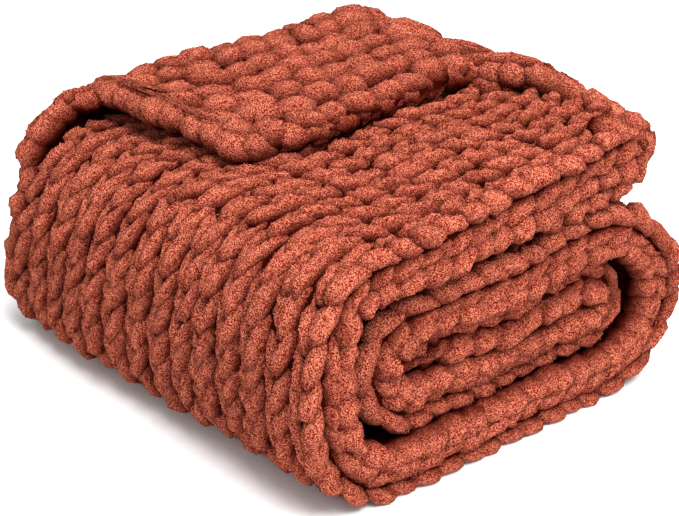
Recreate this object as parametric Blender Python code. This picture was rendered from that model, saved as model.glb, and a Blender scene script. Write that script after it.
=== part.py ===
"""Chunky knit blanket, folded in three across its width and wrapped into a soft block.

The far edge of its outer layer is turned back over the top of the block.
Metres, +Z up. The near end of the folds faces -Y and the first rounded fold faces -X.
"""
import math

import bmesh
import bpy
from mathutils import Vector

# Driving sizes, in metres
FOLDED_LENGTH = 0.410        # along the folds, from the near end to the far end
LAYER_GAP = 0.0012           # clear space between two layers of one pass
RIB_COUNT = 13               # knitted ribs across the folded length
RIB_HEIGHT = 0.0050          # how far a rib stands out of its layer
RIB_SHARE = 0.45             # most of a thin layer that a rib may take
PRESSED_FACING = (-0.80, -0.98)  # upward part of the normal at which ribs start to flatten and are flat
PRESSED_BELOW = (0.06, 0.03) # height of the pass at which its ribs start to flatten and are flat
HEM_ROUND = 0.016            # length over which the cloth's end hems round off
HEM_FULLNESS = 0.45          # share of its thickness that the cloth has at its very end
TURNED_PLUMP = 0.004         # extra thickness of the turned-back layer, which nothing presses
KNEE_MOST = 0.8              # most of a turn's width that its bend may take
KNEE_SHARE = 0.3             # share of the width that is drawn finely where the layer hardly bends
WIDE_TURN = 0.150            # turned-back width that shows whole ribs and its whole thickness
TURNED_SIDE = (0.203, 0.213) # distances between which the turned-back edge has its left side

# Thickness of three layers together, at the two end hems
OUTER_END_THICKNESS = 0.046
INNER_END_THICKNESS = 0.024
OUTER_END = (0.298, 0.1845)  # x and z of the cloth's outer end hem
INNER_END = (0.112, 0.0856)  # x and z of the cloth's inner end hem
INNER_END_STEPS = 5
OUTER_FLAT_STEPS = 8         # steps from the outer end hem to the first rounded fold

# One row for each rounded fold, from the outside of the wrap inwards.
# name, centre x, centre z, half width, half height, thickness, squareness, first angle, steps round, steps before
FOLDS = (
    ("outer left", 0.078, 0.0879, 0.0600, 0.0684, 0.039, 2.6, 90.0, 10, OUTER_FLAT_STEPS),
    ("outer right", 0.262, 0.0711, 0.0600, 0.0516, 0.039, 2.3, 270.0, 8, 7),
    ("inner left", 0.104, 0.0850, 0.0390, 0.0290, 0.032, 2.1, 90.0, 7, 7),
    ("inner right", 0.258, 0.0712, 0.0185, 0.0156, 0.025, 2.0, 270.0, 6, 7),
)

# The outer layer past its far crease, by distance along the wrap from the outer end hem.
# distance, width past the crease, radius of the turn, angle of the turn, crease y
TURN_BACK = (
    (0.000, 0.256, 0.0146, 184.0, 0.276),
    (0.012, 0.230, 0.0152, 184.2, 0.276),
    (0.026, 0.193, 0.0156, 185.6, 0.277),
    (0.050, 0.191, 0.0155, 186.0, 0.282),
    (0.110, 0.198, 0.0152, 185.8, 0.288),
    (0.150, 0.198, 0.0150, 186.0, 0.292),
    (0.190, 0.190, 0.0150, 186.0, 0.302),
    (0.203, 0.184, 0.0150, 186.0, 0.307),
    (0.213, 0.055, 0.0140, 182.0, 0.320),
    (0.238, 0.046, 0.0130, 172.0, 0.325),
    (0.262, 0.034, 0.0120, 110.0, 0.322),
    (0.285, 0.018, 0.0120, 30.0, 0.328),
    (0.310, 0.014, 0.0120, 0.0, 0.336),
    (0.345, 0.014, 0.0120, 0.0, 0.346),
    (0.400, 0.014, 0.0120, 0.0, 0.352),
    (0.460, 0.014, 0.0120, 0.0, 0.362),
    (0.560, 0.014, 0.0120, 0.0, 0.380),
)

# Where the folded width starts and stops, by distance along the wrap.
# distance, near end y, far end y
PASS_ENDS = (
    (0.000, 0.004, 0.272),
    (0.020, -0.002, 0.292),
    (0.100, -0.002, 0.314),
    (0.210, -0.002, 0.332),
    (0.250, -0.002, 0.342),
    (0.300, -0.002, 0.358),
    (0.345, -0.004, 0.370),
    (0.400, -0.002, 0.376),
    (0.460, -0.004, 0.386),
    (0.560, -0.002, 0.404),
    (0.700, 0.000, 0.406),
    (0.830, 0.002, 0.400),
    (1.060, 0.008, 0.392),
    (1.200, 0.010, 0.394),
    (1.600, 0.012, 0.388),
)

# Unevenness of the whole block
FAR_SINK = 0.110             # share of its height that it loses by the far end
HEM_DROP = 0.008             # how far the outer end hem droops by the far end
HEM_DROP_X = (0.160, 0.290)  # where along x the droop starts and is whole
HEM_DROP_Z = (0.135, 0.175)  # where along z the droop starts and is whole
FAR_PINCH = 0.017            # how far the first fold's top draws in by the far end
FAR_PINCH_X = 0.110          # how far along x the pinch reaches
FAR_PINCH_Z = (0.000, 0.070) # heights at which the pinch starts and is whole
FAR_SPLAY = 0.008            # how far the first fold's foot spreads by the far end
SIDE_SWAY = 0.003            # how far the sides sway off straight
SWAY_TURNS = 9.0             # radians of sway for each metre of length
SWAY_START = 2.0             # radians of sway at the near end
SWAY_CLEAR = (0.060, 0.050)  # height and distance from a hem at which the sway is whole


def smooth_step(low, high, value):
    share = min(1.0, max(0.0, (value - low) / (high - low)))
    return share * share * (3.0 - 2.0 * share)


def read_rows(rows, key):
    """Columns of a table read at key, with a smooth change between its rows."""
    for low, high in zip(rows, rows[1:]):
        if key <= high[0]:
            share = smooth_step(low[0], high[0], key)
            return tuple(a + (b - a) * share for a, b in zip(low[1:], high[1:]))
    return rows[-1][1:]


def spread(low, high, count):
    """Evenly spaced values between low and high, without the two ends."""
    return [low + (high - low) * (step + 1) / (count + 1) for step in range(count)]


def squared(value, square):
    """Cosine or sine of a rounded fold, pushed towards a box by a squareness over 2."""
    return math.copysign(abs(value) ** (2.0 / square), value)


def flat_run(start, end, steps):
    """Points of a flat run of the wrap, with its first point and without its last."""
    return [tuple(a + (b - a) * step / steps for a, b in zip(start, end)) for step in range(steps)]


def wrap_line():
    """The middle line of the wrapped cloth: x, z and thickness at each point."""
    points = []
    start = (*OUTER_END, OUTER_END_THICKNESS)
    for _, centre_x, centre_z, half_width, half_height, thick, square, first, steps_round, steps_before in FOLDS:
        fold = []
        for step in range(steps_round + 1):
            angle = math.radians(first + 180.0 * step / steps_round)
            out = squared(math.cos(angle), square)
            up = squared(math.sin(angle), square)
            fold.append((centre_x + half_width * out, centre_z + half_height * up, thick))
        points += flat_run(start, fold[0], steps_before)
        points += fold[:-1]
        start = fold[-1]
    end = (*INNER_END, INNER_END_THICKNESS)
    return points + flat_run(start, end, INNER_END_STEPS) + [end]


def with_round_hems(points):
    """Adds close points beside each end hem, where the cloth rounds off."""
    def toward(here, there, reach):
        share = reach / math.dist(here[:2], there[:2])
        return tuple(a + (b - a) * share for a, b in zip(here, there))
    first = [toward(points[0], points[1], HEM_ROUND * share) for share in (0.0, 0.3, 1.0)]
    last = [toward(points[-1], points[-2], HEM_ROUND * share) for share in (0.3, 0.0)]
    return first + points[1:-1] + last


def with_turned_side(points):
    """Adds points where the turned-back edge's left side starts and stops. X falls along the first run."""
    start, end = points[0], points[OUTER_FLAT_STEPS]
    length = math.dist(start[:2], end[:2])
    sides = [tuple(a + (b - a) * reach / length for a, b in zip(start, end)) for reach in TURNED_SIDE]
    first_run = sorted(points[:OUTER_FLAT_STEPS] + sides, reverse=True)
    return first_run + points[OUTER_FLAT_STEPS:]


def stations():
    """One frame for each point of the wrap: place, outward normal, thickness, distance and hem distance."""
    points = with_round_hems(with_turned_side(wrap_line()))
    steps = [math.dist(here[:2], there[:2]) for here, there in zip(points, points[1:])]
    distances = [sum(steps[:index]) for index in range(len(points))]
    frames = []
    for index, (x, z, thick) in enumerate(points):
        before = points[max(index - 1, 0)]
        after = points[min(index + 1, len(points) - 1)]
        along = Vector((after[0] - before[0], after[1] - before[1])).normalized()
        hem = min(distances[index], distances[-1] - distances[index])
        rounded = math.sqrt(1.0 - (1.0 - min(1.0, hem / HEM_ROUND)) ** 2)
        fullness = HEM_FULLNESS + (1.0 - HEM_FULLNESS) * rounded
        frames.append(((x, z), (along.y, -along.x), thick * fullness, distances[index], hem))
    return frames


def half_turn(centre_y, centre_height, radius, first, count=3):
    """Inner points of a half turn that starts at the angle first, in degrees."""
    points = []
    for angle in spread(math.radians(first), math.radians(first + 180.0), count):
        points.append((centre_y + radius * math.cos(angle), centre_height + radius * math.sin(angle)))
    return points


def past_crease(length, offset, turn):
    """A point of the outer layer past its crease, from its flat place: length past the crease and offset."""
    _, radius, angle, crease_y, middle = turn
    bent = min(max(length, 0.0) / radius, math.radians(angle))
    straight = length - bent * radius
    y = crease_y + (radius - offset) * math.sin(bent) + straight * math.cos(bent)
    return y, middle + radius - (radius - offset) * math.cos(bent) + straight * math.sin(bent)


def turned_back(turn, layer, rib_height):
    """The outer layer past its crease: out along its outer face, round its free edge and back."""
    width, radius, angle = turn[:3]
    arc = radius * math.radians(angle)
    knee = min(KNEE_MOST * width, arc + KNEE_SHARE * width * (1.0 - min(1.0, angle / 90.0)))
    plump = min(1.0, width / WIDE_TURN)
    ribbed = smooth_step(0.5 * WIDE_TURN, WIDE_TURN, width)
    points = []
    for index, length in enumerate(spread(0.0, knee, 3) + [knee] + spread(knee, width, 9)):
        lift = TURNED_PLUMP * plump + 0.5 * rib_height * (index % 2) * ribbed
        points.append(past_crease(length, -layer / 2.0 - lift, turn))
    edge = half_turn(0.0, 0.0, layer / 2.0, -90.0)
    points += [past_crease(width + along, across, turn) for along, across in edge]
    inner = [width] + spread(width, knee, 2) + [knee] + spread(knee, 0.0, 1)
    return points + [past_crease(length, layer / 2.0, turn) for length in inner]


def section(thick, distance, pressed):
    """Closed outline of one pass across the folds: y and height over the pass's middle line."""
    near, far = read_rows(PASS_ENDS, distance)
    layer = (thick - 2.0 * LAYER_GAP) / 3.0
    pitch = layer + LAYER_GAP
    fold_round = layer + LAYER_GAP / 2.0
    turn = (*read_rows(TURN_BACK, distance), pitch)
    crease_y = turn[3]
    rib_height = min(RIB_HEIGHT, RIB_SHARE * layer) * (1.0 - pressed)
    slit_near = near + fold_round
    slit_far = far - fold_round
    outline = []
    for index, y in enumerate([crease_y] + spread(crease_y, slit_near, 2 * RIB_COUNT - 1) + [slit_near]):
        outline.append((y, pitch + layer / 2.0 + rib_height * (index % 2 - 1.0)))
    outline += half_turn(slit_near, pitch / 2.0, fold_round, 90.0)
    outline += [(y, -layer / 2.0) for y in spread(slit_near, slit_far, 3)]
    outline += [(slit_far + LAYER_GAP, -pitch / 2.0)]
    outline += [(y, -pitch + layer / 2.0) for y in spread(slit_far, near + layer / 2.0, 3)]
    outline += half_turn(near + layer / 2.0, -pitch, layer / 2.0, 90.0)
    outline += [(y, -pitch - layer / 2.0) for y in spread(near + layer / 2.0, slit_far, 6)]
    outline += half_turn(slit_far, -pitch / 2.0, fold_round, -90.0)
    outline += [(y, layer / 2.0) for y in spread(slit_far, slit_near, 3)]
    outline += [(slit_near - LAYER_GAP, pitch / 2.0)]
    outline += [(y, pitch - layer / 2.0) for y in spread(slit_near, crease_y, 2) + [crease_y]]
    return outline + turned_back(turn, layer, rib_height)


def settle(x, y, z, hem):
    """The block's own unevenness: lower at its far end and outer hem, and flat on its base."""
    share = y / FOLDED_LENGTH
    drop = HEM_DROP * share * smooth_step(*HEM_DROP_X, x) * smooth_step(*HEM_DROP_Z, z)
    clear_height, clear_hem = SWAY_CLEAR
    sway = SIDE_SWAY * math.sin(SWAY_TURNS * y + SWAY_START)
    sway *= smooth_step(0.0, clear_height, z) * smooth_step(0.0, clear_hem, hem)
    pinched = smooth_step(*FAR_PINCH_Z, z)
    pinch = (FAR_PINCH * pinched - FAR_SPLAY * (1.0 - pinched)) * share * smooth_step(FAR_PINCH_X, 0.0, x)
    return Vector((x + sway + pinch, y, max(0.0, z * (1.0 - FAR_SINK * share) - drop)))


def centred(vertices):
    """Moves the block so that its bounding box is centred on Z and stands on the ground."""
    middle = [(min(v[axis] for v in vertices) + max(v[axis] for v in vertices)) / 2.0 for axis in (0, 1)]
    return [vertex - Vector((*middle, 0.0)) for vertex in vertices]


def build_blanket():
    """The whole cloth as one closed solid."""
    frames = stations()
    vertices = []
    for place, normal, thick, distance, hem in frames:
        pressed = smooth_step(*PRESSED_FACING, normal[1]) * smooth_step(*PRESSED_BELOW, place[1])
        outline = section(thick, distance, pressed)
        for y, height in outline:
            vertices.append(settle(place[0] + normal[0] * height, y, place[1] + normal[1] * height, hem))
    count = len(outline)
    faces = []
    for ring in range(len(frames) - 1):
        here, there = ring * count, (ring + 1) * count
        for index in range(count):
            follow = (index + 1) % count
            faces.append((here + index, there + index, there + follow, here + follow))
    faces.append(tuple(range(count)))
    faces.append(tuple(reversed(range(len(vertices) - count, len(vertices)))))
    mesh = bpy.data.meshes.new("blanket")
    mesh.from_pydata(centred(vertices), [], faces)
    split_end_hems(mesh)
    blanket = bpy.data.objects.new("blanket", mesh)
    bpy.context.collection.objects.link(blanket)
    blanket.data.materials.append(yarn_material())


def split_end_hems(mesh):
    """Splits the two many-sided faces at the end hems into triangles."""
    work = bmesh.new()
    work.from_mesh(mesh)
    hems = [face for face in work.faces if len(face.verts) > 4]
    bmesh.ops.triangulate(work, faces=hems, ngon_method="BEAUTY")
    work.to_mesh(mesh)
    work.free()


def yarn_material():
    material = bpy.data.materials.new("rust chenille yarn")
    material.use_nodes = True
    shader = material.node_tree.nodes["Principled BSDF"]
    shader.inputs["Base Color"].default_value = (0.42, 0.095, 0.04, 1.0)
    shader.inputs["Roughness"].default_value = 0.95
    shader.inputs["Metallic"].default_value = 0.0
    return material


def clear_scene():
    for item in list(bpy.data.objects):
        bpy.data.objects.remove(item, do_unlink=True)


clear_scene()
build_blanket()
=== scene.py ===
"""Chunky chenille blanket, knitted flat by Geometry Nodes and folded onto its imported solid."""
import math

import bmesh
import bpy
import numpy as np
from bpy.props import FloatProperty, FloatVectorProperty, IntProperty, PointerProperty
from bpy.types import Operator, Panel, PropertyGroup
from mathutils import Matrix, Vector


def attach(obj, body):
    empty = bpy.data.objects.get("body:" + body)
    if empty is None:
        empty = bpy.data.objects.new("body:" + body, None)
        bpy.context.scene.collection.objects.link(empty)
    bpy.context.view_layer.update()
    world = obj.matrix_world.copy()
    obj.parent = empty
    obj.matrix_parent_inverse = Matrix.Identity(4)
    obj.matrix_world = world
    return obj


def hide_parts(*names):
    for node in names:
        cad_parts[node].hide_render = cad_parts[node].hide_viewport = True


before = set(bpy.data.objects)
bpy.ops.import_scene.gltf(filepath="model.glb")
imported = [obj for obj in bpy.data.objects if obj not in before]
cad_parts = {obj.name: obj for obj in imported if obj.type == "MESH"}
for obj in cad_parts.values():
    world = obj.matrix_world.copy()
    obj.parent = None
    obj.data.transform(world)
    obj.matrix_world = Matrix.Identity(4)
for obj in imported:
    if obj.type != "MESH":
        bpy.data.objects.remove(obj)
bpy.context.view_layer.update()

bl_info = {
    "name": "Chunky Knit Blanket",
    "version": (1, 0, 0),
    "blender": (4, 5, 0),
    "location": "View3D > Sidebar > Blanket",
    "description": "Knits a chunky blanket, folds it onto its solid and sets it in a soft studio",
    "category": "Add Mesh",
}

# The folds, with the same values as the solid. Metres, before the block is centred.
LAYER_GAP = 0.0012
FOLDED_LENGTH = 0.410
OUTER_END = (0.298, 0.1845, 0.046)
INNER_END = (0.112, 0.0856, 0.024)
BLOCK_MIDDLE = (0.17285, 0.20098)

# centre x, centre z, half width, half height, thickness, squareness, first angle
FOLDS = (
    (0.078, 0.0879, 0.0600, 0.0684, 0.039, 2.6, 90.0),
    (0.262, 0.0711, 0.0600, 0.0516, 0.039, 2.3, 270.0),
    (0.104, 0.0850, 0.0390, 0.0290, 0.032, 2.1, 90.0),
    (0.258, 0.0712, 0.0185, 0.0156, 0.025, 2.0, 270.0),
)

# distance, width past the crease, radius of the turn, angle of the turn, crease y
TURN_BACK = (
    (0.000, 0.256, 0.0146, 184.0, 0.276),
    (0.012, 0.230, 0.0152, 184.2, 0.276),
    (0.026, 0.193, 0.0156, 185.6, 0.277),
    (0.050, 0.191, 0.0155, 186.0, 0.282),
    (0.110, 0.198, 0.0152, 185.8, 0.288),
    (0.150, 0.198, 0.0150, 186.0, 0.292),
    (0.190, 0.190, 0.0150, 186.0, 0.302),
    (0.203, 0.184, 0.0150, 186.0, 0.307),
    (0.213, 0.055, 0.0140, 182.0, 0.320),
    (0.238, 0.046, 0.0130, 172.0, 0.325),
    (0.262, 0.034, 0.0120, 110.0, 0.322),
    (0.285, 0.018, 0.0120, 30.0, 0.328),
    (0.310, 0.014, 0.0120, 0.0, 0.336),
    (0.345, 0.014, 0.0120, 0.0, 0.346),
    (0.400, 0.014, 0.0120, 0.0, 0.352),
    (0.460, 0.014, 0.0120, 0.0, 0.362),
    (0.560, 0.014, 0.0120, 0.0, 0.380),
)

# distance, near end y, far end y
PASS_ENDS = (
    (0.000, 0.004, 0.272),
    (0.020, -0.002, 0.292),
    (0.100, -0.002, 0.314),
    (0.210, -0.002, 0.332),
    (0.250, -0.002, 0.342),
    (0.300, -0.002, 0.358),
    (0.345, -0.004, 0.370),
    (0.400, -0.002, 0.376),
    (0.460, -0.004, 0.386),
    (0.560, -0.002, 0.404),
    (0.700, 0.000, 0.406),
    (0.830, 0.002, 0.400),
    (1.060, 0.008, 0.392),
    (1.200, 0.010, 0.394),
    (1.600, 0.012, 0.388),
)

FAR_SINK = 0.110
HEM_DROP = 0.008
HEM_ROUND = 0.016
HEM_FULLNESS = 0.45
FAR_PINCH = 0.017
FAR_SPLAY = 0.008
SIDE_SWAY = 0.003
RIBS = 13

# The knit is drawn in where the block lies on its left bottom edge, and sinks at its right shoulder.
DRAWN_IN = 0.007
SHOULDER_DROP = 0.010

# Unevenness of the yarn and the least height of any yarn over the floor
LUMP_LENGTH = 0.012
LUMP_HEIGHT = 0.0010
FLOOR_CLEAR = 0.0004

class KnitSizes(PropertyGroup):
    row_pitch: FloatProperty(
        name="Row Pitch", description="Length of one stitch along a rib", default=0.0195, unit="LENGTH")
    yarn_width: FloatProperty(
        name="Yarn Width", description="Width of one leg of a stitch", default=0.0128, unit="LENGTH")
    stitch_overlap: FloatProperty(
        name="Stitch Overlap", description="Length of a leg in stitch lengths", default=1.62)
    leg_lean: FloatProperty(
        name="Leg Lean", description="How far a leg leans out of its rib", default=math.radians(16.0), subtype="ANGLE")
    ground_half: FloatProperty(
        name="Ground Half Thickness", description="Half the thickness of the cloth under the stitches",
        default=0.0020, unit="LENGTH")
    jitter: FloatProperty(
        name="Unevenness", description="How much the stitches differ from each other", default=0.13)
    tuft: FloatProperty(
        name="Tuft Length", description="Length of one tuft of the pile", default=0.0018, unit="LENGTH")
    pile: FloatProperty(
        name="Pile Density", description="Tufts on each square metre of the stitches", default=37000.0)
    seed: IntProperty(name="Seed", description="Seed of the unevenness", default=7)


# The pile's colours. The tips' colour is partly the yarn's own and partly painted highlight. The roots' colour is
# partly the yarn's own and partly painted shade: in the pits between the tips, on the low side of each lump and on the
# cloth.
class YarnLook(PropertyGroup):
    tip: FloatVectorProperty(
        name="Pile Tips", description="Colour of the lit pile tips", subtype="COLOR", size=3,
        default=(0.780, 0.230, 0.138))
    deep: FloatVectorProperty(
        name="Pile Roots", description="Colour between the pile tips", subtype="COLOR", size=3,
        default=(0.175, 0.007, 0.001))
    grain: FloatProperty(
        name="Grain", description="Width of one curl of the pile", default=0.0009, unit="LENGTH")


class StudioLook(PropertyGroup):
    floor: FloatVectorProperty(
        name="Floor", description="Colour of the floor", subtype="COLOR", size=3, default=(0.92, 0.92, 0.92))
    sky: FloatProperty(name="Sky", description="Strength of the all-round light", default=0.85)
    key: FloatProperty(name="Key Light", description="Power of the main soft light", default=70.0, unit="POWER")


def smooth_steps(low, high, value):
    share = np.clip((value - low) / (high - low), 0.0, 1.0)
    return share * share * (3.0 - 2.0 * share)


def read_rows(rows, keys):
    """Columns of a table at many keys, with a smooth change between its rows."""
    table = np.array(rows)
    keys = np.clip(keys, table[0, 0], table[-1, 0])
    index = np.clip(np.searchsorted(table[:, 0], keys, side="right") - 1, 0, len(table) - 2)
    low, high = table[index], table[index + 1]
    share = ((keys - low[:, 0]) / (high[:, 0] - low[:, 0]))[:, None]
    share = share * share * (3.0 - 2.0 * share)
    return (low[:, 1:] + (high[:, 1:] - low[:, 1:]) * share).T


def soften(values, reach):
    """Rounds a line of values over a reach in samples, and keeps its ends."""
    window = np.hanning(2 * reach + 3)[1:-1]
    padded = np.concatenate([
        2 * values[0] - values[reach:0:-1], values, 2 * values[-1] - values[-2:-reach - 2:-1]])
    return np.convolve(padded, window / window.sum(), mode="valid")


def wrap_frames(step=0.001):
    """The wrap's middle line at every millimetre: distance, x, z, thickness and outward normal."""
    points = [OUTER_END]
    for centre_x, centre_z, half_width, half_height, thick, square, first in FOLDS:
        angles = np.radians(first + np.linspace(0.0, 180.0, 181))
        out = np.sign(np.cos(angles)) * np.abs(np.cos(angles)) ** (2.0 / square)
        up = np.sign(np.sin(angles)) * np.abs(np.sin(angles)) ** (2.0 / square)
        points += [(centre_x + half_width * a, centre_z + half_height * b, thick) for a, b in zip(out, up)]
    points = np.array(points + [INNER_END])
    lengths = np.r_[0.0, np.cumsum(np.hypot(*np.diff(points[:, :2], axis=0).T))]
    distance = np.arange(0.0, lengths[-1], step)
    x, z, thick = (soften(np.interp(distance, lengths, column), 12) for column in points.T)
    along_x, along_z = np.gradient(x), np.gradient(z)
    size = np.hypot(along_x, along_z)
    return {"distance": distance, "x": x, "z": z, "thick": thick,
            "normal_x": along_z / size, "normal_z": -along_x / size}


WRAP = wrap_frames()
WRAP_LENGTH = WRAP["distance"][-1]


class Section:
    """Sizes of the folded pass at many distances along the wrap."""

    def __init__(self, distance):
        def read(name):
            return np.interp(distance, WRAP["distance"], WRAP[name])
        self.distance = distance
        inside = np.clip(distance, 0.0, WRAP_LENGTH)
        self.normal = read("normal_x"), read("normal_z")
        beyond = distance - inside
        self.x = read("x") - self.normal[1] * beyond
        self.z = read("z") + self.normal[0] * beyond
        self.hem = np.minimum(inside, WRAP_LENGTH - inside)
        rounded = np.sqrt(1.0 - (1.0 - np.minimum(1.0, self.hem / HEM_ROUND)) ** 2)
        fullness = HEM_FULLNESS + (1.0 - HEM_FULLNESS) * rounded
        self.near, self.far = read_rows(PASS_ENDS, distance)
        self.layer = (read("thick") * fullness - 2.0 * LAYER_GAP) / 3.0
        self.pitch = self.layer + LAYER_GAP
        self.fold_round = self.layer + LAYER_GAP / 2.0
        self.slit_near = self.near + self.fold_round
        self.slit_far = self.far - self.fold_round
        self.width, self.radius, degrees, self.crease = read_rows(TURN_BACK, distance)
        self.turn = np.radians(degrees)


# Places in one section of the pass. Each takes the section, a place across it and a height off
# the layer's middle, and gives y and the height over the pass's middle line.

OUTER_START = -0.002
EDGE_DRAWN = 0.0025

# Height of the strand that lies along the outer end hem: y, z
LIP = ((0.012, 0.189), (0.040, 0.1995), (0.080, 0.2020), (0.120, 0.1985), (0.160, 0.1970),
       (0.200, 0.2020), (0.240, 0.2035), (0.270, 0.2050))
LIP_X = 0.288

# Strand round the near end of the outer end hem: x, z
NOSE = ((0.262, 0.2010), (0.277, 0.1970), (0.290, 0.1890), (0.2965, 0.1786), (0.296, 0.1650),
        (0.287, 0.1570), (0.264, 0.1540), (0.239, 0.1508), (0.213, 0.1480))
NOSE_Y = 0.009

# Strands of the end hems: distance along the wrap, height over the pass's middle line
HEM_STRANDS = ((0.010, 0.003), (0.002, -0.008), (0.004, -0.018), (WRAP_LENGTH - 0.004, 0.008),
               (WRAP_LENGTH + 0.004, 0.0), (WRAP_LENGTH - 0.004, -0.008))
OUTER_RIBS = (0.010, 0.970)   # first and last distance along the wrap
TURNED_WIDE = 0.203            # distance up to which the turned-back edge has its whole width
TURNED_ROWS = 9
TURNED_PITCH = 0.0215

# Piece of pile, pieces that it stands on, share of the whole density and seed
PILE_PIECES = (
    ("outer_pile_a", ("outer_ribs",), 1.0, 61),
    ("outer_pile_b", ("outer_ribs",), 1.0, 62),
    ("edge_pile", ("fold_strands", "turned_edge", "end_hems"), 1.35, 63),
)


def outer_face(section, across, lift):
    """across runs from 0 at the near fold to 1 at the far crease."""
    start = section.slit_near + OUTER_START
    return start + (section.crease - start) * across, section.pitch + lift


def near_fold(section, across, lift):
    """across is the length round the fold's outside, from its nearest point and up."""
    angle = across / section.fold_round
    bent = np.clip(angle, -math.pi / 2.0, math.pi / 2.0)
    size = section.pitch / 2.0 + lift
    straight = (np.abs(angle) - np.abs(bent)) * section.fold_round
    return section.slit_near - size * np.cos(bent) + straight, section.pitch / 2.0 + size * np.sin(bent)


def far_fold(section, across, lift):
    """across is the length round the fold's outside, from its furthest point and up."""
    angle = across / section.fold_round
    bent = np.clip(angle, -math.pi / 2.0, math.pi / 2.0)
    size = section.pitch / 2.0 + lift
    straight = (np.abs(angle) - np.abs(bent)) * section.fold_round
    return section.slit_far + size * np.cos(bent) - straight, -section.pitch / 2.0 + size * np.sin(bent)


def near_edge(section, across, lift):
    """across runs up the free edge of the inmost layer, which is drawn against the fold over it."""
    return section.near + section.layer / 2.0 - lift, EDGE_DRAWN - section.pitch + across


def inner_face(section, across, lift):
    """across runs from 0 at the near edge to 1 at the far fold."""
    start = section.near + section.layer / 2.0
    return start + (section.slit_far - start) * across, -section.pitch - lift


def past_crease(section, length, offset):
    """A point of the outer layer at a length past its crease and an offset off its middle."""
    bent = np.clip(length / section.radius, 0.0, section.turn)
    straight = length - bent * section.radius
    reach = section.radius - offset
    y = section.crease + reach * np.sin(bent) + straight * np.cos(bent)
    return y, section.pitch + section.radius - reach * np.cos(bent) + straight * np.sin(bent)


def turned_top(section, across, lift):
    """across runs from 0 at the crease to 1 at the free edge, on the side that comes out on top."""
    arc = (section.radius + section.layer / 2.0) * section.turn
    flat = np.maximum(0.0, section.width - section.radius * section.turn)
    outside = across * (arc + flat)
    length = np.where(outside < arc, outside * section.radius * section.turn / np.maximum(arc, 1e-6),
                      outside - arc + section.radius * section.turn)
    return past_crease(section, length, -lift)


def turned_under(section, across, lift):
    """across runs from 0 past the crease to 1 at the free edge, on the side that faces down."""
    start = section.radius * section.turn
    return past_crease(section, start + np.maximum(0.0, section.width - start) * across, lift)


def free_edge(section, across, lift):
    """across runs up the free edge of the outer layer."""
    return past_crease(section, section.width - section.layer / 2.0 + lift, across)


def settle(x, y, z, hem):
    """The block's own unevenness, as in the solid, and its soft swells."""
    share = y / FOLDED_LENGTH
    drop = HEM_DROP * share * smooth_steps(0.160, 0.290, x) * smooth_steps(0.135, 0.175, z)
    sway = SIDE_SWAY * np.sin(9.0 * y + 2.0) * smooth_steps(0.0, 0.060, z) * smooth_steps(0.0, 0.050, hem)
    pinched = smooth_steps(0.0, 0.070, z)
    pinch = (FAR_PINCH * pinched - FAR_SPLAY * (1.0 - pinched)) * share * smooth_steps(0.110, 0.0, x)
    drawn = DRAWN_IN * smooth_steps(0.090, 0.0, z) * smooth_steps(0.110, 0.0, x) * smooth_steps(0.260, 0.060, y)
    shoulder = SHOULDER_DROP * smooth_steps(0.265, 0.320, x) * smooth_steps(0.050, 0.115, z) * (
        smooth_steps(0.150, 0.132, z))
    place = np.stack([x + sway + pinch + drawn, y, z * (1.0 - FAR_SINK * share) - drop - shoulder], axis=-1)
    return swell(place - np.array([*BLOCK_MIDDLE, 0.0]))


def swell(place):
    """Soft swells and hollows, the same for every layer, which die out at the floor."""
    x, y, z = place.T
    free = smooth_steps(0.0, 0.05, z)
    moved = np.stack([
        0.0016 * np.sin(31.0 * y + 3.0) + 0.0010 * np.sin(57.0 * y + 40.0 * z),
        0.0018 * np.sin(38.0 * x + 45.0 * z) + 0.0012 * np.sin(71.0 * x - 33.0 * z + 1.0),
        0.0014 * np.sin(29.0 * x + 17.0 * y + 2.0) + 0.0010 * np.sin(63.0 * x + 1.0) * np.sin(41.0 * y)], axis=-1)
    place = place + moved * free[:, None]
    place[:, 2] = np.maximum(place[:, 2], FLOOR_CLEAR)
    return place


def folded(face, distance, across, lift):
    """Points of the flat knit laid on one face of the folded pass."""
    section = Section(distance)
    y, height = face(section, across, lift)
    normal_x, normal_z = section.normal
    return settle(section.x + normal_x * height, y, section.z + normal_z * height, section.hem)


def lumpy(place):
    """Uneven thickness of the hand-thick yarn, in lumps of about a centimetre."""
    x, y, z = (place * 2.0 * math.pi / LUMP_LENGTH).T
    moved = np.stack([
        np.sin(1.10 * y + 0.7 * z + 1.0) + 0.6 * np.sin(1.9 * z - 1.3 * x),
        np.sin(0.95 * z + 0.8 * x + 2.0) + 0.6 * np.sin(2.1 * x + 1.1 * y),
        np.sin(1.05 * x - 0.9 * y + 3.0) + 0.6 * np.sin(1.7 * y + 1.4 * z)], axis=-1)
    place = place + LUMP_HEIGHT * moved * smooth_steps(0.002, 0.015, place[:, 2])[:, None]
    place[:, 2] = np.maximum(place[:, 2], FLOOR_CLEAR)
    return place


def new_object(name, mesh):
    made = bpy.data.objects.new(name, mesh)
    bpy.context.scene.collection.objects.link(made)
    return made


def finish_piece(piece):
    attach(piece, "root")
    return piece


def turn_outwards(mesh):
    """Turns all faces over where the closed parts came out inside out."""
    work = bmesh.new()
    work.from_mesh(mesh)
    if work.calc_volume(signed=True) < 0.0:
        bmesh.ops.reverse_faces(work, faces=work.faces)
    work.to_mesh(mesh)
    work.free()


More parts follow.
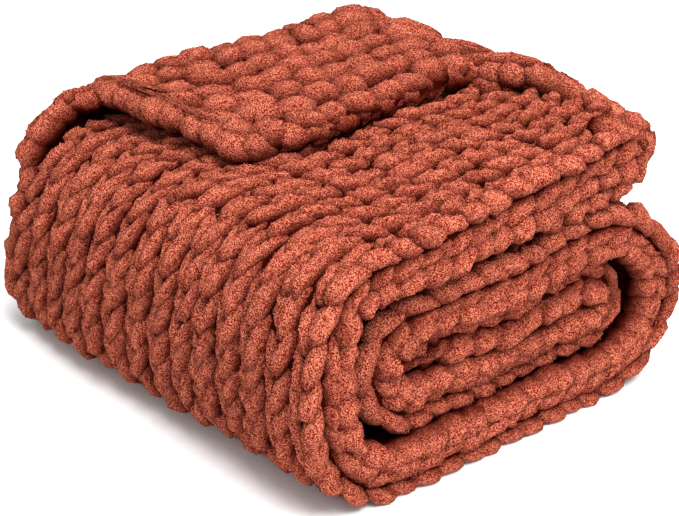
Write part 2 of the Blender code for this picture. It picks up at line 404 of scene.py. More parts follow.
def lump_mesh(name, length, width, height, rise=0.0, taper=0.0, sides=10, rings=6, plump=0.72):
    """A closed plump lump along X, its front end higher by rise."""
    # crest is how high each point sits round the lump: -1 below, 1 on top and 0.3 at the ends. The yarn material uses
    # it to paint shade on the low side.
    vertices, faces, crest = [(-length / 2.0, 0.0, -rise / 2.0)], [], [0.3]
    for ring in range(1, rings + 1):
        along = -math.cos(math.pi * ring / (rings + 1))
        size = math.sqrt(1.0 - along * along) ** plump * (1.0 + taper * along)
        for side in range(sides):
            angle = 2.0 * math.pi * side / sides
            across, up = math.cos(angle) * size, math.sin(angle) * size
            vertices.append((along * length / 2.0, across * width / 2.0, up * height / 2.0 + rise * along / 2.0))
            crest.append(up)
    vertices.append((length / 2.0, 0.0, rise / 2.0))
    crest.append(0.3)
    last = len(vertices) - 1
    for side in range(sides):
        follow = (side + 1) % sides
        faces.append((0, 1 + follow, 1 + side))
        faces.append((last, last - sides + side, last - sides + follow))
        for ring in range(rings - 1):
            here, there = 1 + ring * sides, 1 + (ring + 1) * sides
            faces.append((here + side, here + follow, there + follow, there + side))
    mesh = bpy.data.meshes.new(name)
    mesh.from_pydata(vertices, [], faces)
    mesh.polygons.foreach_set("use_smooth", [True] * len(mesh.polygons))
    mesh.attributes.new("crest", "FLOAT", "POINT").data.foreach_set("value", crest)
    turn_outwards(mesh)
    return mesh


def link(tree, source, target):
    tree.links.new(source, target)


def math_node(tree, operation, first, second=None, third=None):
    node = tree.nodes.new("ShaderNodeMath")
    node.operation = operation
    for socket, value in zip(node.inputs, (first, second, third)):
        if value is None:
            continue
        if isinstance(value, (int, float)):
            socket.default_value = value
        else:
            link(tree, value, socket)
    return node.outputs[0]


KNIT_INPUTS = (
    ("Rows", "NodeSocketInt", 10), ("Ribs", "NodeSocketInt", 1),
    ("Row Pitch", "NodeSocketFloat", 0.02), ("Rib Pitch", "NodeSocketFloat", 0.024),
    ("Leg Shift", "NodeSocketFloat", 0.005), ("Leg Lean", "NodeSocketFloat", 0.3),
    ("Leg Lift", "NodeSocketFloat", 0.0), ("Row Shift", "NodeSocketFloat", 0.0), ("Legs", "NodeSocketInt", 2),
    ("Unevenness", "NodeSocketFloat", 0.1), ("Seed", "NodeSocketInt", 1),
    ("Stitch", "NodeSocketObject", None), ("Yarn", "NodeSocketMaterial", None),
)


def knit_tree():
    """Geometry Nodes tree that knits a flat piece: rows run along X and ribs along Y."""
    if "knit flat" in bpy.data.node_groups:
        return bpy.data.node_groups["knit flat"]
    tree = bpy.data.node_groups.new("knit flat", "GeometryNodeTree")
    tree.interface.new_socket("Geometry", in_out="INPUT", socket_type="NodeSocketGeometry")
    for name, kind, value in KNIT_INPUTS:
        socket = tree.interface.new_socket(name, in_out="INPUT", socket_type=kind)
        if value is not None:
            socket.default_value = value
    tree.interface.new_socket("Geometry", in_out="OUTPUT", socket_type="NodeSocketGeometry")
    given = tree.nodes.new("NodeGroupInput").outputs
    result = tree.nodes.new("NodeGroupOutput")
    index = tree.nodes.new("GeometryNodeInputIndex").outputs[0]
    count = math_node(tree, "MULTIPLY", given["Rows"], given["Ribs"])
    legs_count = math_node(tree, "MULTIPLY", count, given["Legs"])
    leg = math_node(tree, "FLOOR", math_node(tree, "DIVIDE", math_node(tree, "ADD", index, 0.5), count))
    within = math_node(tree, "SUBTRACT", index, math_node(tree, "MULTIPLY", leg, count))
    rib = math_node(tree, "FLOOR", math_node(tree, "DIVIDE", math_node(tree, "ADD", within, 0.5), given["Rows"]))
    row = math_node(tree, "SUBTRACT", within, math_node(tree, "MULTIPLY", rib, given["Rows"]))
    # Side is -1 for the first leg and 1 for the second, or 0 where a stitch has one leg.
    two = math_node(tree, "SUBTRACT", given["Legs"], 1.0)
    side = math_node(tree, "MULTIPLY", two, math_node(tree, "SUBTRACT", math_node(tree, "MULTIPLY", leg, 2.0), 1.0))
    shifted = math_node(tree, "MULTIPLY", given["Row Shift"], math_node(tree, "MODULO", rib, 2.0))
    along = math_node(tree, "MULTIPLY", math_node(tree, "ADD", row, shifted), given["Row Pitch"])
    across = math_node(tree, "MULTIPLY", math_node(tree, "ADD", rib, 0.5), given["Rib Pitch"])
    across = math_node(tree, "ADD", across, math_node(tree, "MULTIPLY", side, given["Leg Shift"]))
    place = tree.nodes.new("ShaderNodeCombineXYZ")
    link(tree, along, place.inputs[0])
    link(tree, across, place.inputs[1])
    link(tree, math_node(tree, "MULTIPLY", side, given["Leg Lift"]), place.inputs[2])
    points = tree.nodes.new("GeometryNodePoints")
    link(tree, legs_count, points.inputs["Count"])
    link(tree, place.outputs[0], points.inputs["Position"])

    def random_vector(low, high, offset):
        node = tree.nodes.new("FunctionNodeRandomValue")
        node.data_type = "FLOAT_VECTOR"
        node.inputs[0].default_value = low
        node.inputs[1].default_value = high
        link(tree, math_node(tree, "ADD", given["Seed"], offset), node.inputs["Seed"])
        scaled = tree.nodes.new("ShaderNodeVectorMath")
        scaled.operation = "SCALE"
        link(tree, node.outputs[0], scaled.inputs[0])
        link(tree, given["Unevenness"], scaled.inputs["Scale"])
        return scaled.outputs[0]

    def add_vectors(first, second):
        node = tree.nodes.new("ShaderNodeVectorMath")
        node.operation = "ADD"
        for socket, value in zip(node.inputs, (first, second)):
            if isinstance(value, tuple):
                socket.default_value = value
            else:
                link(tree, value, socket)
        return node.outputs[0]

    turn = tree.nodes.new("ShaderNodeCombineXYZ")
    link(tree, math_node(tree, "MULTIPLY", side, given["Leg Lean"]), turn.inputs[2])
    lively = add_vectors(turn.outputs[0], random_vector((-1.0, -0.7, -1.1), (1.0, 0.7, 1.1), 0))
    sizes = add_vectors((1.0, 1.0, 1.0), random_vector((-0.8, -1.0, -1.0), (0.8, 1.0, 1.0), 11))
    moved = tree.nodes.new("GeometryNodeSetPosition")
    link(tree, points.outputs[0], moved.inputs["Geometry"])
    link(tree, random_vector((-0.016, -0.009, -0.007), (0.016, 0.009, 0.007), 23), moved.inputs["Offset"])
    stitch = tree.nodes.new("GeometryNodeObjectInfo")
    link(tree, given["Stitch"], stitch.inputs["Object"])
    instances = tree.nodes.new("GeometryNodeInstanceOnPoints")
    link(tree, moved.outputs[0], instances.inputs["Points"])
    link(tree, stitch.outputs["Geometry"], instances.inputs["Instance"])
    link(tree, lively, instances.inputs["Rotation"])
    link(tree, sizes, instances.inputs["Scale"])
    tone = tree.nodes.new("FunctionNodeRandomValue")
    tone.data_type = "FLOAT"
    link(tree, given["Seed"], tone.inputs["Seed"])
    stored = tree.nodes.new("GeometryNodeStoreNamedAttribute")
    stored.data_type = "FLOAT"
    stored.domain = "INSTANCE"
    stored.inputs["Name"].default_value = "tone"
    link(tree, instances.outputs[0], stored.inputs["Geometry"])
    link(tree, tone.outputs[1], stored.inputs["Value"])
    real = tree.nodes.new("GeometryNodeRealizeInstances")
    link(tree, stored.outputs[0], real.inputs[0])
    painted = tree.nodes.new("GeometryNodeSetMaterial")
    link(tree, real.outputs[0], painted.inputs["Geometry"])
    link(tree, given["Yarn"], painted.inputs["Material"])
    link(tree, painted.outputs[0], result.inputs[0])
    return tree


def knit_flat(stitch_mesh, **values):
    """Runs the tree and gives the flat knit as a mesh: points, faces and tone."""
    stitch = new_object("stitch model", stitch_mesh)
    holder = new_object("flat knit", bpy.data.meshes.new("flat knit"))
    modifier = holder.modifiers.new("knit", "NODES")
    modifier.node_group = knit_tree()
    given = {socket.name: socket.identifier for socket in modifier.node_group.interface.items_tree
             if socket.in_out == "INPUT"}
    values = {"Stitch": stitch, "Yarn": yarn_material(), **values}
    for name, value in values.items():
        modifier[given[name.replace("_", " ").title() if name not in given else name]] = value
    bpy.context.view_layer.update()
    ready = holder.evaluated_get(bpy.context.evaluated_depsgraph_get())
    mesh = bpy.data.meshes.new_from_object(ready)
    holder.modifiers.remove(modifier)
    bpy.data.objects.remove(holder)
    bpy.data.objects.remove(stitch)
    return mesh


def mesh_points(mesh):
    points = np.empty(len(mesh.vertices) * 3)
    mesh.vertices.foreach_get("co", points)
    return points.reshape(-1, 3)


def join_meshes(name, meshes):
    """One object made of many folded meshes."""
    work = bmesh.new()
    for mesh in meshes:
        work.from_mesh(mesh)
    whole = bpy.data.meshes.new(name)
    work.to_mesh(whole)
    work.free()
    for mesh in meshes:
        bpy.data.meshes.remove(mesh)
    whole.materials.append(yarn_material())
    whole.polygons.foreach_set("use_smooth", [True] * len(whole.polygons))
    whole.polygons.foreach_set("material_index", [0] * len(whole.polygons))
    return new_object(name, whole)


def fold_patch(mesh, face, start, rib_pitch=None, ribs=1, centre=False, lift=0.0, keep=None):
    """Lays a flat knit on one face of the folds, from a start distance along the wrap."""
    points = mesh_points(mesh)
    across = points[:, 1].copy()
    if centre:
        across -= rib_pitch * ribs / 2.0
    else:
        across /= rib_pitch * ribs
    place = lumpy(folded(face, start + points[:, 0], across, lift + points[:, 2]))
    mesh.vertices.foreach_set("co", place.ravel())
    if keep is not None:
        drop_stitches(mesh, keep(start + points[:, 0], across))
    turn_outwards(mesh)
    return mesh


def drop_stitches(mesh, keep):
    """Takes out each stitch of which some point isn't kept."""
    work = bmesh.new()
    work.from_mesh(mesh)
    work.verts.ensure_lookup_table()
    seen = np.zeros(len(work.verts), bool)
    gone = []
    for vertex in work.verts:
        if seen[vertex.index]:
            continue
        island, stack = [], [vertex]
        seen[vertex.index] = True
        while stack:
            here = stack.pop()
            island.append(here)
            for edge in here.link_edges:
                other = edge.other_vert(here)
                if not seen[other.index]:
                    seen[other.index] = True
                    stack.append(other)
        if not all(keep[v.index] for v in island):
            gone += island
    bmesh.ops.delete(work, geom=gone, context="VERTS")
    work.to_mesh(mesh)
    work.free()


def chenille_group():
    """Shader node group for chenille pile: colour and height of the curled tips, with painted highlight on the tips,
    painted shade in the pits between them and painted shade on the low side of each lump.
    """
    if "chenille pile" in bpy.data.node_groups:
        return bpy.data.node_groups["chenille pile"]
    group = bpy.data.node_groups.new("chenille pile", "ShaderNodeTree")
    face = group.interface
    for name, kind in (("Place", "NodeSocketVector"), ("Tone", "NodeSocketFloat"), ("Crest", "NodeSocketFloat"),
                       ("Grain", "NodeSocketFloat"), ("Tips", "NodeSocketColor"), ("Roots", "NodeSocketColor")):
        face.new_socket(name, in_out="INPUT", socket_type=kind)
    for name, kind in (("Colour", "NodeSocketColor"), ("Height", "NodeSocketFloat")):
        face.new_socket(name, in_out="OUTPUT", socket_type=kind)
    given = group.nodes.new("NodeGroupInput").outputs
    result = group.nodes.new("NodeGroupOutput").inputs
    frequency = math_node(group, "DIVIDE", 1.0, given["Grain"])

    def noise(scale, detail, source=None):
        node = group.nodes.new("ShaderNodeTexNoise")
        node.inputs["Detail"].default_value = detail
        node.inputs["Roughness"].default_value = 0.6
        link(group, source or given["Place"], node.inputs["Vector"])
        link(group, math_node(group, "MULTIPLY", frequency, scale), node.inputs["Scale"])
        return node

    fine = noise(1.0, 2.0).outputs["Fac"]
    clumps = noise(0.28, 1.0).outputs["Fac"]
    height = math_node(group, "ADD", math_node(group, "MULTIPLY", fine, 0.85),
                       math_node(group, "MULTIPLY", clumps, 0.15))
    # Painted highlight and shade at the grain: where the noise is high the pile takes the tips' colour, and elsewhere
    # the roots' colour.
    lit = group.nodes.new("ShaderNodeMapRange")
    lit.interpolation_type = "SMOOTHSTEP"
    lit.inputs["From Min"].default_value = 0.42
    lit.inputs["From Max"].default_value = 0.61
    link(group, height, lit.inputs["Value"])
    mix = group.nodes.new("ShaderNodeMix")
    mix.data_type = "RGBA"
    # Painted shade between the stitches: towards the low side of each lump, going by its crest, the colour goes over
    # to the roots' colour.
    high = group.nodes.new("ShaderNodeMapRange")
    high.inputs["From Min"].default_value = -0.35
    high.inputs["From Max"].default_value = 0.95
    link(group, given["Crest"], high.inputs["Value"])
    link(group, math_node(group, "MULTIPLY", lit.outputs[0], high.outputs[0]), mix.inputs[0])
    link(group, given["Roots"], mix.inputs[6])
    link(group, given["Tips"], mix.inputs[7])
    patches = noise(0.03, 3.0).outputs["Fac"]
    value = math_node(group, "ADD", math_node(group, "MULTIPLY", given["Tone"], 0.16),
                      math_node(group, "MULTIPLY", patches, 0.30))
    shade = group.nodes.new("ShaderNodeHueSaturation")
    # Painted shade: on the low side of each lump the value falls to a fifth.
    deep = math_node(group, "MULTIPLY_ADD", high.outputs[0], 0.80, 0.20)
    link(group, math_node(group, "MULTIPLY", math_node(group, "ADD", value, 0.80), deep), shade.inputs["Value"])
    link(group, mix.outputs[2], shade.inputs["Color"])
    link(group, shade.outputs[0], result["Colour"])
    link(group, height, result["Height"])
    return group


def yarn_material():
    if "chenille yarn" in bpy.data.materials:
        return bpy.data.materials["chenille yarn"]
    look = bpy.context.scene.yarn_look
    material = bpy.data.materials.new("chenille yarn")
    material.use_nodes = True
    tree = material.node_tree
    shader = tree.nodes["Principled BSDF"]
    pile = tree.nodes.new("ShaderNodeGroup")
    pile.node_tree = chenille_group()
    place = tree.nodes.new("ShaderNodeTexCoord")
    tone = tree.nodes.new("ShaderNodeAttribute")
    tone.attribute_name = "tone"
    link(tree, place.outputs["Object"], pile.inputs["Place"])
    link(tree, tone.outputs["Fac"], pile.inputs["Tone"])
    crest = tree.nodes.new("ShaderNodeAttribute")
    crest.attribute_name = "crest"
    link(tree, crest.outputs["Fac"], pile.inputs["Crest"])
    pile.inputs["Grain"].default_value = look.grain
    pile.inputs["Tips"].default_value = (*look.tip, 1.0)
    pile.inputs["Roots"].default_value = (*look.deep, 1.0)
    bump = tree.nodes.new("ShaderNodeBump")
    bump.inputs["Strength"].default_value = 1.0
    bump.inputs["Distance"].default_value = 0.0040
    link(tree, pile.outputs["Height"], bump.inputs["Height"])
    link(tree, bump.outputs[0], shader.inputs["Normal"])
    link(tree, pile.outputs["Colour"], shader.inputs["Base Color"])
    shader.inputs["Roughness"].default_value = 0.95
    shader.inputs["Specular IOR Level"].default_value = 0.03
    return material


def ground_ring(distance):
    """Section of the thin cloth under the stitches, at the middle of its layers."""
    section = Section(np.array([distance]))
    half = bpy.context.scene.knit_sizes.ground_half
    line = []

    def add(y, height):
        line.append((float(y[0]), float(height[0])))

    for share in np.linspace(0.0, 1.0, 22):
        y, _ = inner_face(section, share, 0.0)
        add(y, -section.pitch)
    for angle in np.radians((-60.0, -30.0, 0.0, 30.0, 60.0)):
        add(section.slit_far + section.pitch / 2.0 * np.cos(angle),
            -section.pitch / 2.0 + section.pitch / 2.0 * np.sin(angle))
    for share in np.linspace(0.0, 1.0, 8):
        add(section.slit_far + (section.slit_near - section.slit_far) * share, 0.0 * section.pitch)
    for angle in np.radians((-60.0, -30.0, 0.0, 30.0, 60.0)):
        add(section.slit_near - section.pitch / 2.0 * np.cos(angle),
            section.pitch / 2.0 + section.pitch / 2.0 * np.sin(angle))
    for share in np.linspace(0.0, 1.0, 30):
        add(section.slit_near + (section.crease - section.slit_near) * share, section.pitch)
    for share in np.linspace(0.03, 1.0, 30):
        add(*past_crease(section, (section.width - section.layer / 2.0) * share, 0.0))
    line = np.array(line)
    along = np.gradient(line, axis=0)
    along /= np.linalg.norm(along, axis=1)[:, None]
    normal = np.stack([-along[:, 1], along[:, 0]], axis=1)
    ring = np.concatenate([line + normal * half, (line - normal * half)[::-1]])
    hem = np.full(len(ring), section.hem[0])
    x = section.x[0] + section.normal[0][0] * ring[:, 1]
    z = section.z[0] + section.normal[1][0] * ring[:, 1]
    return settle(x, ring[:, 0], z, hem)


class BLANKET_OT_cloth(Operator):
    """Lays the thin cloth that carries the stitches on the folds of the solid"""
    bl_idname = "blanket.cloth"
    bl_label = "Folded Cloth"

    def execute(self, context):
        distances = np.r_[0.004, np.arange(0.012, WRAP_LENGTH - 0.004, 0.008), WRAP_LENGTH - 0.004]
        rings = [ground_ring(distance) for distance in distances]
        count = len(rings[0])
        faces = []
        for ring in range(len(rings) - 1):
            here, there = ring * count, (ring + 1) * count
            for index in range(count):
                follow = (index + 1) % count
                faces.append((here + index, there + index, there + follow, here + follow))
        half = count // 2
        for base, turned in ((0, False), ((len(rings) - 1) * count, True)):
            for index in range(half - 1):
                face = (base + index, base + index + 1, base + count - 2 - index, base + count - 1 - index)
                faces.append(face[::-1] if turned else face)
        mesh = bpy.data.meshes.new("folded_cloth")
        mesh.from_pydata(np.concatenate(rings).tolist(), [], faces)
        mesh.polygons.foreach_set("use_smooth", [True] * len(mesh.polygons))
        mesh.materials.append(yarn_material())
        # The cloth lies deep between the stitches. A crest of -1 gives it the full painted shade of the yarn material:
        # the roots' colour at a fifth of its value.
        mesh.attributes.new("crest", "FLOAT", "POINT").data.foreach_set("value", [-1.0] * len(mesh.vertices))
        turn_outwards(mesh)
        piece = finish_piece(new_object("folded_cloth", mesh))
        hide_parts("blanket")
        return {"FINISHED"}


def leg_mesh(sizes, wide=1.0, long=1.0):
    return lump_mesh("stitch leg", sizes.row_pitch * sizes.stitch_overlap * long, sizes.yarn_width * wide,
                     1.12 * sizes.yarn_width * wide, rise=0.0046, taper=0.10)


def curve_points(face, distances, across, lift=0.0):
    """A curve on one face of the folds, its across and lift the same or one for each distance."""
    across, lift = (np.broadcast_to(np.asarray(value, float), distances.shape) for value in (across, lift))
    return folded(face, distances, across, lift)


def rope_along(curve, lump, spacing, seed, reach=6, up=(0.0, 0.0, 1.0)):
    """A strand of lumps along a curve, evenly spaced by the curve's own length."""
    sizes = bpy.context.scene.knit_sizes
    lengths = np.r_[0.0, np.cumsum(np.linalg.norm(np.diff(curve, axis=0), axis=1))]
    steps = np.arange(0.0, lengths[-1], 0.002)
    line = np.stack([soften(np.interp(steps, lengths, column), reach) for column in curve.T], axis=-1)
    lengths = np.r_[0.0, np.cumsum(np.linalg.norm(np.diff(line, axis=0), axis=1))]
    along = np.gradient(line, axis=0)
    along /= np.linalg.norm(along, axis=1)[:, None]
    side = np.cross(np.array(up), along)
    side /= np.maximum(np.linalg.norm(side, axis=1), 1e-6)[:, None]
    top = np.cross(along, side)
    count = max(2, int(round(lengths[-1] / spacing)))
    mesh = knit_flat(lump, Rows=count, Ribs=1, Row_Pitch=lengths[-1] / (count - 1), Rib_Pitch=0.030,
                     Legs=1, Unevenness=sizes.jitter, Seed=seed)
    points = mesh_points(mesh)
    here = np.clip(points[:, 0], 0.0, lengths[-1])

    def read(table):
        return np.stack([np.interp(here, lengths, column) for column in table.T], axis=-1)

    place = read(line) + read(along) * (points[:, 0] - here)[:, None]
    place += read(side) * (points[:, 1] - 0.015)[:, None] + read(top) * points[:, 2][:, None]
    mesh.vertices.foreach_set("co", lumpy(place).ravel())
    turn_outwards(mesh)
    return mesh


class BLANKET_OT_outer_ribs(Operator):
    """Knits the ribs of the outer face, from the underside of the outer end hem round the wrap"""
    bl_idname = "blanket.outer_ribs"
    bl_label = "Outer Ribs"

    def execute(self, context):
        sizes = context.scene.knit_sizes
        rows = int((OUTER_RIBS[1] - OUTER_RIBS[0]) / sizes.row_pitch)
        flat = knit_flat(leg_mesh(sizes), Rows=rows, Ribs=RIBS, Row_Pitch=sizes.row_pitch, Rib_Pitch=0.024,
                         Leg_Shift=0.0058, Leg_Lift=0.0018, Leg_Lean=sizes.leg_lean,
                         Unevenness=sizes.jitter, Seed=sizes.seed)
        patch = fold_patch(flat, outer_face, OUTER_RIBS[0], rib_pitch=0.024, ribs=RIBS, lift=0.0006)
        finish_piece(join_meshes("outer_ribs", [patch]))
        return {"FINISHED"}


class BLANKET_OT_fold_strands(Operator):
    """Knits the strands round the near fold, the near edge and the far fold"""
    bl_idname = "blanket.fold_strands"
    bl_label = "Strands of the Folds"

    def execute(self, context):
        sizes = context.scene.knit_sizes
        rows = int((WRAP_LENGTH + 0.03) / sizes.row_pitch)
        common = {"Row_Pitch": sizes.row_pitch, "Rib_Pitch": 0.030, "Unevenness": sizes.jitter}
        near = knit_flat(leg_mesh(sizes, 1.36, 1.0), Rows=rows, Leg_Shift=0.0092, Leg_Lean=1.2 * sizes.leg_lean, Seed=21,
                         **common)
        edge = knit_flat(leg_mesh(sizes, 1.50, 0.95), Rows=rows - 2, Legs=1, Seed=22, **common)
        far = knit_flat(leg_mesh(sizes, 1.25), Rows=rows - 2, Leg_Shift=0.0085, Leg_Lean=sizes.leg_lean, Seed=23,
                        **common)
        patches = [
            fold_patch(near, near_fold, 0.006, rib_pitch=0.030, centre=True, lift=0.0006),
            fold_patch(edge, near_edge, 0.004, rib_pitch=0.030, centre=True, lift=-0.0020),
            fold_patch(far, far_fold, 0.010, rib_pitch=0.030, centre=True, lift=0.0045),
        ]
        finish_piece(join_meshes("fold_strands", patches))
        return {"FINISHED"}


class BLANKET_OT_turned_edge(Operator):
    """Knits the turned-back edge: the lumps of its reverse side, its under side and its free edge"""
    bl_idname = "blanket.turned_edge"
    bl_label = "Turned-back Edge"

    def execute(self, context):
        sizes = context.scene.knit_sizes
        lump = lump_mesh("reverse lump", 0.0275, 0.0225, 0.0205, rise=0.001)
        common = {"Row_Pitch": TURNED_PITCH, "Rib_Pitch": TURNED_PITCH, "Legs": 1, "Row_Shift": 0.5}
        top = knit_flat(lump, Rows=9, Ribs=TURNED_ROWS, Unevenness=1.6 * sizes.jitter, Seed=31, **common)
        lump = lump_mesh("reverse lump", 0.0240, 0.0200, 0.0170, rise=0.001)
        rim = knit_flat(lump, Rows=4, Ribs=3, Unevenness=sizes.jitter, Seed=32, **common)
        under = knit_flat(leg_mesh(sizes), Rows=10, Ribs=7, Row_Pitch=sizes.row_pitch, Rib_Pitch=0.024,
                          Leg_Shift=0.0046, Leg_Lean=sizes.leg_lean, Unevenness=sizes.jitter, Seed=33)
        patches = [
            fold_patch(top, turned_top, 0.014, rib_pitch=TURNED_PITCH, ribs=TURNED_ROWS, lift=0.0052),
            fold_patch(rim, turned_top, TURNED_WIDE - 0.006, rib_pitch=TURNED_PITCH, ribs=3, lift=0.0050),
            fold_patch(under, turned_under, 0.016, rib_pitch=0.024, ribs=7, lift=0.0),
        ]
        strand = lump_mesh("edge lump", 0.0275, 0.0200, 0.0200, rise=0.003)
        selvage = np.arange(0.0, 0.76, 0.001)
        lifts = np.interp(selvage, (0.28, 0.34), (-0.002, 0.001))
        patches.append(rope_along(curve_points(free_edge, selvage, 0.0, lifts), strand, 0.0185, 34,
                                  up=(-0.7, 0.0, 0.7)))
        strand = lump_mesh("edge lump", 0.0300, 0.0195, 0.0195, rise=0.003)
        along = np.linspace(0.0, 1.0, 120)
        lifts = np.interp(along, (0.0, 0.12, 0.45, 0.60), (0.012, 0.008, -0.004, -0.010))
        patches.append(rope_along(curve_points(turned_top, np.full(120, 0.001), along, lifts), strand, 0.0170, 35,
                                  up=(0.7, 0.0, 0.7)))
        y, z = np.array(LIP).T
        y_steps = np.linspace(y[0], y[-1], 120)
        for seed, x, lower, span in ((36, LIP_X, 0.0, 1.0), (37, LIP_X - 0.018, 0.004, 0.55)):
            curve = np.stack([np.full(120, x), y_steps, np.interp(y_steps, y, z) - lower], axis=-1)
            curve = curve[int(120 * (1.0 - span)):] - np.array([*BLOCK_MIDDLE, 0.0])
            patches.append(rope_along(curve, strand, 0.0165, seed))
        finish_piece(join_meshes("turned_edge", patches))
        return {"FINISHED"}


class BLANKET_OT_inner_face(Operator):
    """Knits the inner face where it shows under the top of the block"""
    bl_idname = "blanket.inner_face"
    bl_label = "Inner Face"

    def execute(self, context):
        sizes = context.scene.knit_sizes
        lump = lump_mesh("reverse lump", 0.0240, 0.0225, 0.0140, rise=0.001)
        flat = knit_flat(lump, Rows=12, Ribs=24, Row_Pitch=sizes.row_pitch, Rib_Pitch=0.0150, Legs=1,
                         Row_Shift=0.5, Unevenness=sizes.jitter, Seed=41)
        patch = fold_patch(flat, inner_face, 0.012, rib_pitch=0.0150, ribs=24, lift=0.0010)
        finish_piece(join_meshes("inner_face", [patch]))
        return {"FINISHED"}


class BLANKET_OT_hems(Operator):
    """Knits the cast-off strands at the two end hems"""
    bl_idname = "blanket.hems"
    bl_label = "End Hems"

    def execute(self, context):
        sizes = context.scene.knit_sizes
        strand = lump_mesh("hem lump", 0.0260, 0.0185, 0.0185, rise=0.002)
        patches = []
        for index, (distance, height) in enumerate(HEM_STRANDS):
            section = Section(np.full(120, distance))
            ends = np.linspace(section.near[0] + 0.014, section.slit_far[0], 120)
            curve = settle(section.x + section.normal[0] * height, ends,
                           section.z + section.normal[1] * height, section.hem)
            patches.append(rope_along(curve, strand, 0.0165, 52 + index))
        x, z = np.array(NOSE).T
        curve = np.stack([x, np.full(len(x), NOSE_Y), z], axis=-1) - np.array([*BLOCK_MIDDLE, 0.0])
        patches.append(rope_along(curve, strand, 0.0165, 59, up=(0.0, -1.0, 0.3)))
        finish_piece(join_meshes("end_hems", patches))
        return {"FINISHED"}


def tuft_mesh(length):
    """One closed tuft of the pile: a thin pyramid with its root below its place."""
    width, root = 0.42 * length, -0.35 * length
    corners = [(width * math.cos(turn), width * math.sin(turn), root) for turn in np.radians((0.0, 120.0, 240.0))]
    mesh = bpy.data.meshes.new("tuft")
    mesh.from_pydata([*corners, (0.0, 0.0, length + root)], [], [(0, 2, 1), (0, 1, 3), (1, 2, 3), (2, 0, 3)])
    return mesh


PILE_INPUTS = (
    ("Density", "NodeSocketFloat", 50000.0), ("Tilt", "NodeSocketFloat", 0.9),
    ("Seed", "NodeSocketInt", 1), ("Lowest Facing", "NodeSocketFloat", -0.6),
    ("Tuft", "NodeSocketObject", None), ("Yarn", "NodeSocketMaterial", None),
)


def pile_tree():
    """Geometry Nodes tree that sets tufts of pile on the stitches and gives the tufts alone."""
    if "chenille tufts" in bpy.data.node_groups:
        return bpy.data.node_groups["chenille tufts"]
    tree = bpy.data.node_groups.new("chenille tufts", "GeometryNodeTree")
    tree.interface.new_socket("Geometry", in_out="INPUT", socket_type="NodeSocketGeometry")
    for name, kind, value in PILE_INPUTS:
        socket = tree.interface.new_socket(name, in_out="INPUT", socket_type=kind)
        if value is not None:
            socket.default_value = value
    tree.interface.new_socket("Geometry", in_out="OUTPUT", socket_type="NodeSocketGeometry")
    given = tree.nodes.new("NodeGroupInput").outputs
    result = tree.nodes.new("NodeGroupOutput")
    facing = tree.nodes.new("ShaderNodeSeparateXYZ")
    link(tree, tree.nodes.new("GeometryNodeInputNormal").outputs[0], facing.inputs[0])
    shown = math_node(tree, "GREATER_THAN", facing.outputs[2], given["Lowest Facing"])
    spots = tree.nodes.new("GeometryNodeDistributePointsOnFaces")
    link(tree, given["Geometry"], spots.inputs["Mesh"])
    link(tree, shown, spots.inputs["Selection"])
    link(tree, given["Density"], spots.inputs["Density"])
    link(tree, given["Seed"], spots.inputs["Seed"])
    lean = tree.nodes.new("FunctionNodeRandomValue")
    lean.data_type = "FLOAT_VECTOR"
    lean.inputs[0].default_value = (-1.0, -1.0, -4.0)
    lean.inputs[1].default_value = (1.0, 1.0, 4.0)
    scaled = tree.nodes.new("ShaderNodeVectorMath")
    scaled.operation = "SCALE"
    link(tree, lean.outputs[0], scaled.inputs[0])
    link(tree, given["Tilt"], scaled.inputs["Scale"])
    turned = tree.nodes.new("FunctionNodeRotateEuler")
    turned.space = "LOCAL"
    link(tree, spots.outputs["Rotation"], turned.inputs[0])
    link(tree, scaled.outputs[0], turned.inputs[1])
    size = tree.nodes.new("FunctionNodeRandomValue")
    size.data_type = "FLOAT"
    size.inputs[2].default_value = 0.65
    size.inputs[3].default_value = 1.25
    tuft = tree.nodes.new("GeometryNodeObjectInfo")
    link(tree, given["Tuft"], tuft.inputs["Object"])
    instances = tree.nodes.new("GeometryNodeInstanceOnPoints")
    link(tree, spots.outputs["Points"], instances.inputs["Points"])
    link(tree, tuft.outputs["Geometry"], instances.inputs["Instance"])
    link(tree, turned.outputs[0], instances.inputs["Rotation"])
    link(tree, size.outputs[1], instances.inputs["Scale"])
    tone = tree.nodes.new("FunctionNodeRandomValue")
    tone.data_type = "FLOAT"
    stored = tree.nodes.new("GeometryNodeStoreNamedAttribute")
    stored.data_type = "FLOAT"
    stored.domain = "INSTANCE"
    stored.inputs["Name"].default_value = "tone"
    link(tree, instances.outputs[0], stored.inputs["Geometry"])
    link(tree, tone.outputs[1], stored.inputs["Value"])
    real = tree.nodes.new("GeometryNodeRealizeInstances")
    link(tree, stored.outputs[0], real.inputs[0])
    painted = tree.nodes.new("GeometryNodeSetMaterial")
    link(tree, real.outputs[0], painted.inputs["Geometry"])
    link(tree, given["Yarn"], painted.inputs["Material"])
    link(tree, painted.outputs[0], result.inputs[0])
    return tree


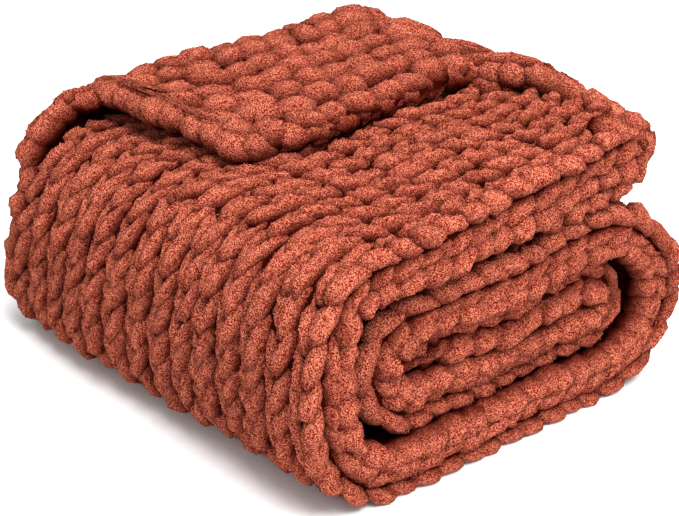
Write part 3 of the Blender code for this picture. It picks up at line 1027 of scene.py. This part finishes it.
class BLANKET_OT_pile(Operator):
    """Sets tufts of pile on the stitches"""
    bl_idname = "blanket.pile"
    bl_label = "Pile Tufts"

    def execute(self, context):
        sizes = context.scene.knit_sizes
        tuft = new_object("tuft model", tuft_mesh(sizes.tuft))
        for name, sources, share, seed in PILE_PIECES:
            holder = join_meshes(name, [bpy.data.objects[source].data.copy() for source in sources])
            modifier = holder.modifiers.new("pile", "NODES")
            modifier.node_group = pile_tree()
            given = {socket.name: socket.identifier for socket in modifier.node_group.interface.items_tree
                     if socket.in_out == "INPUT"}
            for key, value in (("Tuft", tuft), ("Yarn", yarn_material()), ("Seed", seed),
                               ("Density", sizes.pile * share)):
                modifier[given[key]] = value
            context.view_layer.update()
            ready = holder.evaluated_get(context.evaluated_depsgraph_get())
            mesh = bpy.data.meshes.new_from_object(ready)
            holder.modifiers.remove(modifier)
            holder.data = mesh
            mesh.name = name
            heights = mesh_points(mesh)
            heights[:, 2] = np.maximum(heights[:, 2], FLOOR_CLEAR)
            mesh.vertices.foreach_set("co", heights.ravel())
            finish_piece(holder)
        bpy.data.objects.remove(tuft)
        return {"FINISHED"}


class BLANKET_OT_stage(Operator):
    """Makes the floor, the soft lights and the camera"""
    bl_idname = "blanket.stage"
    bl_label = "Studio"

    def execute(self, context):
        look = context.scene.studio_look
        half = 3.0
        mesh = bpy.data.meshes.new("studio_floor")
        mesh.from_pydata([(-half, -half, 0.0), (half, -half, 0.0), (half, half, 0.0), (-half, half, 0.0)],
                         [], [(0, 1, 2, 3)])
        material = bpy.data.materials.new("studio floor")
        material.use_nodes = True
        shader = material.node_tree.nodes["Principled BSDF"]
        shader.inputs["Base Color"].default_value = (*look.floor, 1.0)
        shader.inputs["Roughness"].default_value = 0.9
        shader.inputs["Specular IOR Level"].default_value = 0.1
        mesh.materials.append(material)
        new_object("studio_floor", mesh)
        world = bpy.data.worlds.new("studio")
        world.use_nodes = True
        world.node_tree.nodes["Background"].inputs[0].default_value = (1.0, 1.0, 1.0, 1.0)
        world.node_tree.nodes["Background"].inputs[1].default_value = look.sky
        context.scene.world = world
        data = bpy.data.lights.new("key light", "AREA")
        data.size = 1.3
        data.energy = look.key
        lamp = new_object("key light", data)
        lamp.location = (-0.16, -0.85, 1.6)
        lamp.rotation_euler = (-lamp.location).to_track_quat("-Z", "Y").to_euler()
        camera = new_object("studio camera", bpy.data.cameras.new("studio camera"))
        azimuth, elevation = math.radians(-40.39), math.radians(24.71)
        back = Vector((math.sin(azimuth) * math.cos(elevation), -math.cos(azimuth) * math.cos(elevation),
                       math.sin(elevation)))
        camera.location = Vector((-0.0190, -0.0519, 0.0903)) + back * 1.169
        camera.rotation_euler = (-back).to_track_quat("-Z", "Y").to_euler()
        camera.data.sensor_width = 36.0
        camera.data.lens = 89.37
        context.scene.camera = camera
        context.scene.view_settings.view_transform = "Standard"
        return {"FINISHED"}


class BLANKET_PT_panel(Panel):
    """Lists the steps that make the blanket"""
    bl_idname = "BLANKET_PT_panel"
    bl_label = "Chunky Knit Blanket"
    bl_space_type = "VIEW_3D"
    bl_region_type = "UI"
    bl_category = "Blanket"

    def draw(self, context):
        for group in (context.scene.knit_sizes, context.scene.yarn_look, context.scene.studio_look):
            box = self.layout.box()
            for name in group.__annotations__:
                box.prop(group, name)
        for step in STEPS:
            self.layout.operator(step.bl_idname)


STEPS = (BLANKET_OT_cloth, BLANKET_OT_outer_ribs, BLANKET_OT_fold_strands, BLANKET_OT_turned_edge,
         BLANKET_OT_inner_face, BLANKET_OT_hems, BLANKET_OT_pile, BLANKET_OT_stage)
GROUPS = (("knit_sizes", KnitSizes), ("yarn_look", YarnLook), ("studio_look", StudioLook))


def register():
    for name, group in GROUPS:
        bpy.utils.register_class(group)
        setattr(bpy.types.Scene, name, PointerProperty(type=group))
    for item in (*STEPS, BLANKET_PT_panel):
        bpy.utils.register_class(item)


def unregister():
    for item in (BLANKET_PT_panel, *reversed(STEPS)):
        bpy.utils.unregister_class(item)
    for name, group in reversed(GROUPS):
        delattr(bpy.types.Scene, name)
        bpy.utils.unregister_class(group)


def main():
    register()
    for step in STEPS:
        group, name = step.bl_idname.split(".")
        getattr(getattr(bpy.ops, group), name)()


if __name__ == "__main__":
    main()
